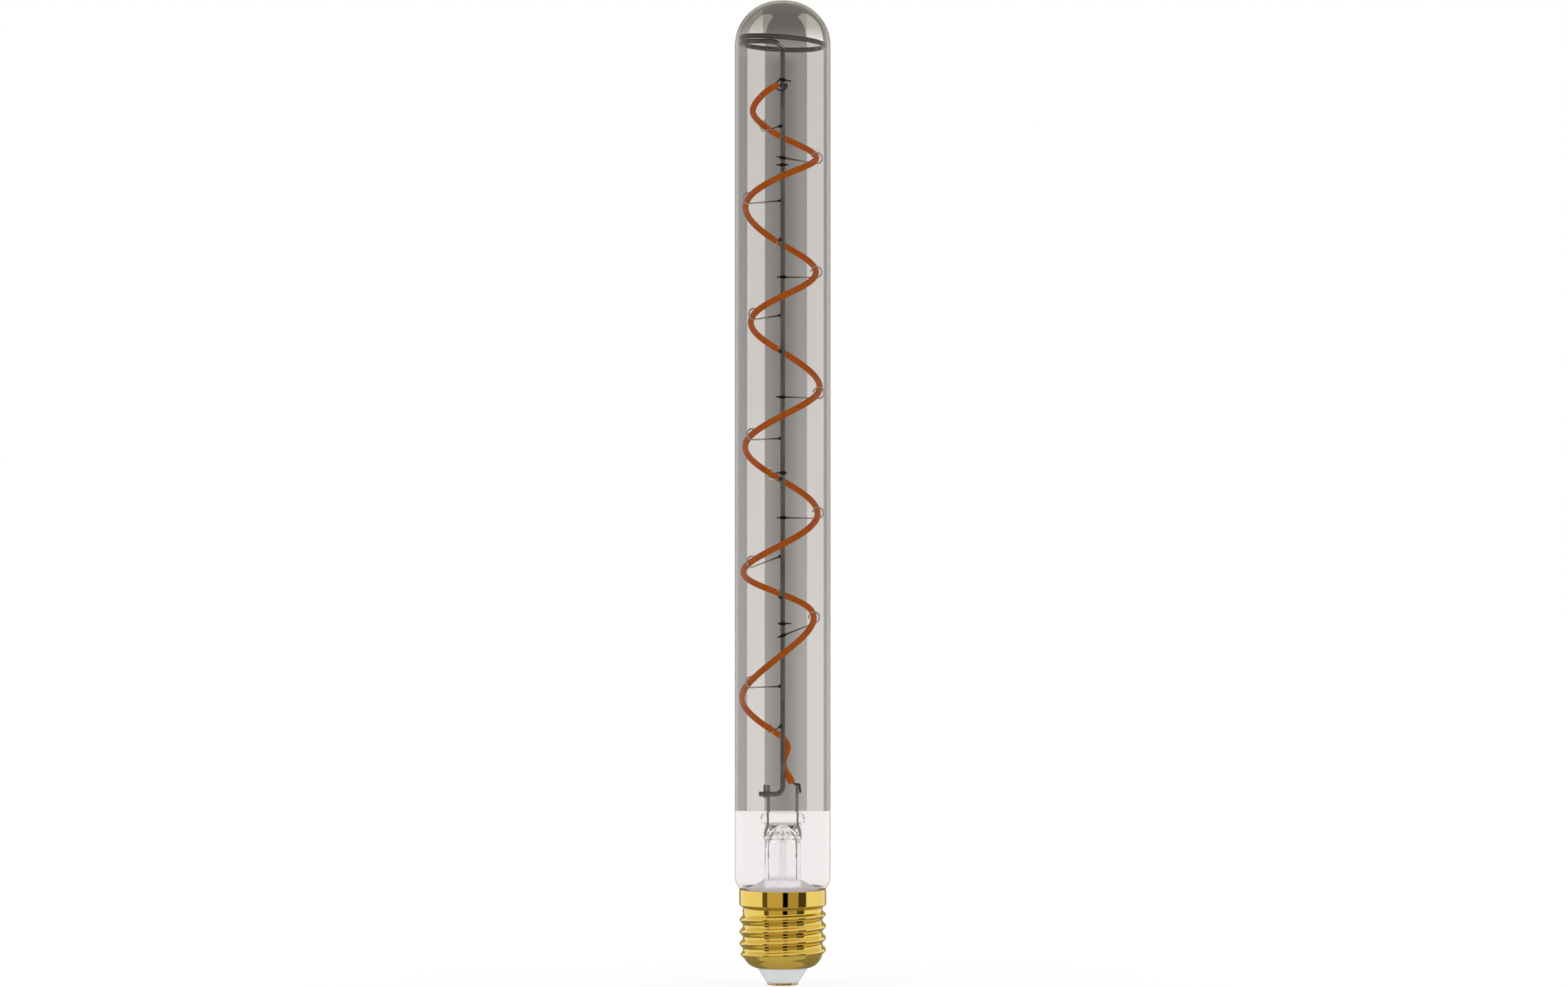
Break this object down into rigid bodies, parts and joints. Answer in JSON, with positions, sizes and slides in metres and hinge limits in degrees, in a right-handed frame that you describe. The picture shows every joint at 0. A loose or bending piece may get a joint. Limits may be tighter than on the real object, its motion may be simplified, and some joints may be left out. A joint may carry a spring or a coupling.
{
  "type": "tubular light bulb",
  "caption": "Long tubular lamp of smoked glass with a rounded top, a hanging spiral filament held by fine wire hooks on a centre rod, and a gold screw cap.",
  "frame": {"origin": "middle of the centre contact's flat face, on the lamp's long axis", "axes": "+Z along the lamp from the centre contact to the rounded top, +X to the right of the picture, -Y towards the viewer"},
  "size_m": [0.0292, 0.0292, 0.3],
  "materials": {
    "smoked_glass": "polished, with a grey smoke tint",
    "clear_glass": "clear, fire polished",
    "dark_steel": "drawn wire, darkened",
    "fine_wire": "drawn fine wire",
    "lead_wire": "nickel plated wire",
    "seal_wire": "copper clad, in glass",
    "filament_coat": "soft amber coating, satin",
    "gold_metal": "bright gold, rolled",
    "white_ceramic": "moulded white, semi gloss",
    "contact_metal": "stamped brass, satin",
    "cement": "matt, off white",
    "board": "laminate with a green mask",
    "black_moulding": "moulded black",
    "can_metal": "drawn can",
    "resistor_coat": "matt coating"
  },
  "bodies": {
    "root": {"glass_envelope": "smoked_glass", "stem_flare": "clear_glass", "exhaust_tube": "clear_glass", "inner_lead_left": "lead_wire", "inner_lead_right": "lead_wire", "seal_wire_left": "seal_wire", "seal_wire_right": "seal_wire", "outer_lead_left": "lead_wire", "outer_lead_right": "lead_wire", "support_rod": "dark_steel", "foot_pin": "lead_wire", "filament": "filament_coat", "filament_terminal_top": "lead_wire", "filament_terminal_bottom": "lead_wire", "filament_hook_01": "fine_wire", "filament_hook_02": "fine_wire", "filament_hook_03": "fine_wire", "filament_hook_04": "fine_wire", "filament_hook_05": "fine_wire", "filament_hook_06": "fine_wire", "filament_hook_07": "fine_wire", "filament_hook_08": "fine_wire", "filament_hook_09": "fine_wire", "filament_hook_10": "fine_wire", "filament_hook_11": "fine_wire", "filament_hook_12": "fine_wire", "filament_hook_13": "fine_wire", "filament_hook_14": "fine_wire", "filament_hook_15": "fine_wire", "filament_hook_16": "fine_wire", "top_hook": "fine_wire", "cut_wire_1": "fine_wire", "cut_wire_2": "fine_wire", "cut_wire_3": "fine_wire", "screw_shell": "gold_metal", "insulator": "white_ceramic", "centre_contact": "contact_metal", "cement_ring": "cement", "driver_board": "board", "bridge_rectifier": "black_moulding", "driver_chip": "black_moulding", "smoothing_capacitor": "can_metal", "fusible_resistor": "resistor_coat", "live_wire": "lead_wire", "shell_wire": "lead_wire"}
  },
  "joints": []
}
